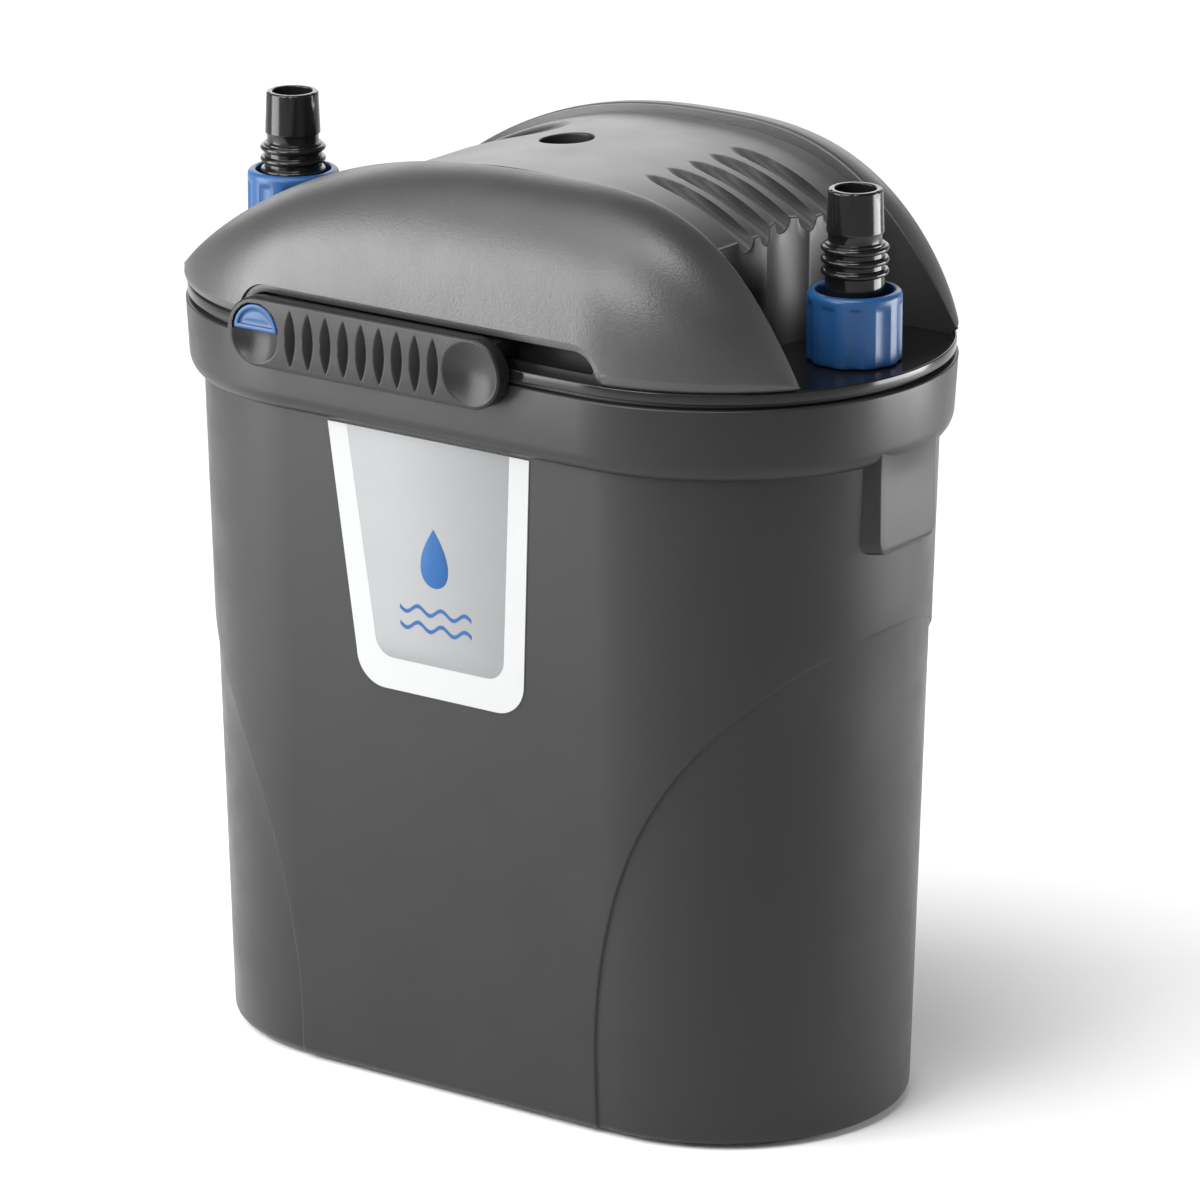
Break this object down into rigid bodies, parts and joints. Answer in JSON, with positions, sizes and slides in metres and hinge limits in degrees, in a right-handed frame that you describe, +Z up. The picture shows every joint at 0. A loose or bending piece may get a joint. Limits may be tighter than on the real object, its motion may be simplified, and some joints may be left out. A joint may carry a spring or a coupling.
{
  "type": "canister water filter",
  "caption": "Oval canister water filter: a tapered tank closed by a humped pump head with sliding latches, release buttons and a barbed hose connector with a union nut at each end.",
  "frame": {"origin": "centre of the surface the filter stands on, at the underside of the rubber feet", "axes": "+Z up, +X along the long side towards the outlet connector, -Y towards the side with the label"},
  "size_m": [0.2482, 0.1512, 0.2854],
  "materials": {
    "tank_plastic": "dark grey satin moulding",
    "shell_plastic": "dark grey, fine texture, slight sheen",
    "bridge_plastic": "lighter grey satin",
    "latch_plastic": "dark grey satin, worn smooth on the grooves",
    "rail_plastic": "black",
    "black_plastic": "glossy black",
    "inner_plastic": "dark moulding",
    "white_plastic": "off white",
    "nut_blue": "blue satin",
    "button_blue": "blue gloss",
    "rubber": "black",
    "label_white": "printed film",
    "label_silver": "printed silver film",
    "label_blue": "printed ink",
    "steel": "stainless",
    "lamination": "stacked sheet steel, lacquered",
    "copper": "enamelled copper wire",
    "ferrite": "ferrite magnet",
    "ceramic": "polished ceramic",
    "foam_blue": "coarse open foam",
    "foam_black": "fine open foam",
    "sintered": "porous sintered ceramic",
    "floss": "white fibre pad"
  },
  "bodies": {
    "tank": {"tank": "tank_plastic", "rubber_feet": "rubber", "label_border": "label_white", "label_face": "label_silver", "label_mark": "label_blue"},
    "head": {"head_base": "black_plastic", "head_seal": "rubber", "plug_seal": "rubber", "front_shell": "shell_plastic", "rear_shell": "shell_plastic", "bridge_cover": "bridge_plastic", "centre_screw": "steel", "cover_screws": "steel", "front_latch_rail": "rail_plastic", "rear_latch_rail": "rail_plastic", "cable_gland": "rubber", "motor_housing": "inner_plastic", "motor_lid": "inner_plastic", "stator_core": "lamination", "stator_coil": "copper", "rotor_shaft": "ceramic", "shaft_bush_upper": "rubber", "shaft_bush_lower": "rubber", "pump_cover": "inner_plastic", "pump_cover_screws": "steel", "inlet_washer": "rubber", "outlet_washer": "rubber", "intake_pipe": "inner_plastic"},
    "rotor": {"rotor_magnet": "ferrite", "impeller": "white_plastic"},
    "front_latch": {"front_latch": "latch_plastic", "front_button_spring": "steel"},
    "rear_latch": {"rear_latch": "latch_plastic", "rear_button_spring": "steel"},
    "front_button": {"front_latch_button": "button_blue"},
    "rear_button": {"rear_latch_button": "button_blue"},
    "inlet_tail": {"inlet_hose_tail": "black_plastic"},
    "inlet_nut": {"inlet_union_nut": "nut_blue"},
    "outlet_tail": {"outlet_hose_tail": "black_plastic"},
    "outlet_nut": {"outlet_union_nut": "nut_blue"},
    "lower_basket": {"lower_basket": "inner_plastic", "coarse_foam": "foam_blue", "fine_foam": "foam_black"},
    "upper_basket": {"upper_basket": "inner_plastic", "bio_rings": "sintered", "polishing_pad": "floss", "basket_handle": "nut_blue"}
  },
  "joints": [
    {"name": "head_lift", "type": "slide", "parent": "tank", "child": "head", "axis": [0, 0, 1], "range_m": [0, 0.34]},
    {"name": "upper_basket_lift", "type": "slide", "parent": "tank", "child": "upper_basket", "axis": [0, 0, 1], "range_m": [0, 0.24]},
    {"name": "lower_basket_lift", "type": "slide", "parent": "tank", "child": "lower_basket", "axis": [0, 0, 1], "range_m": [0, 0.19]},
    {"name": "front_latch_slide", "type": "slide", "parent": "head", "child": "front_latch", "axis": [1, 0, 0], "range_m": [0, 0.03]},
    {"name": "rear_latch_slide", "type": "slide", "parent": "head", "child": "rear_latch", "axis": [-1, 0, 0], "range_m": [0, 0.03]},
    {"name": "front_button_press", "type": "slide", "parent": "front_latch", "child": "front_button", "axis": [0, 1, 0], "range_m": [0, 0.0014], "stiffness_N_per_m": 400, "springref_m": -0.001, "deforming": ["front_button_spring"]},
    {"name": "rear_button_press", "type": "slide", "parent": "rear_latch", "child": "rear_button", "axis": [0, -1, 0], "range_m": [0, 0.0014], "stiffness_N_per_m": 400, "springref_m": -0.001, "deforming": ["rear_button_spring"]},
    {"name": "impeller_spin", "type": "hinge", "parent": "head", "child": "rotor", "pos_m": [0, 0, 0.235], "axis": [0, 0, 1], "continuous": true},
    {"name": "inlet_nut_spin", "type": "hinge", "parent": "inlet_tail", "child": "inlet_nut", "pos_m": [-0.102, 0, 0.24], "axis": [0, 0, 1], "range_deg": [0, 900]},
    {"name": "inlet_tail_lift", "type": "slide", "parent": "head", "child": "inlet_tail", "axis": [0, 0, 1], "range_m": [0, 0.008]},
    {"name": "outlet_nut_spin", "type": "hinge", "parent": "outlet_tail", "child": "outlet_nut", "pos_m": [0.102, 0, 0.24], "axis": [0, 0, 1], "range_deg": [0, 900]},
    {"name": "outlet_tail_lift", "type": "slide", "parent": "head", "child": "outlet_tail", "axis": [0, 0, 1], "range_m": [0, 0.008]}
  ],
  "couplings": [
    {"joint": "upper_basket_lift", "follows": "head_lift", "ratio": 0.7},
    {"joint": "lower_basket_lift", "follows": "head_lift", "ratio": 0.55},
    {"joint": "inlet_tail_lift", "follows": "inlet_nut_spin", "m_per_rad": 0.00047746},
    {"joint": "outlet_tail_lift", "follows": "outlet_nut_spin", "m_per_rad": 0.00047746}
  ]
}
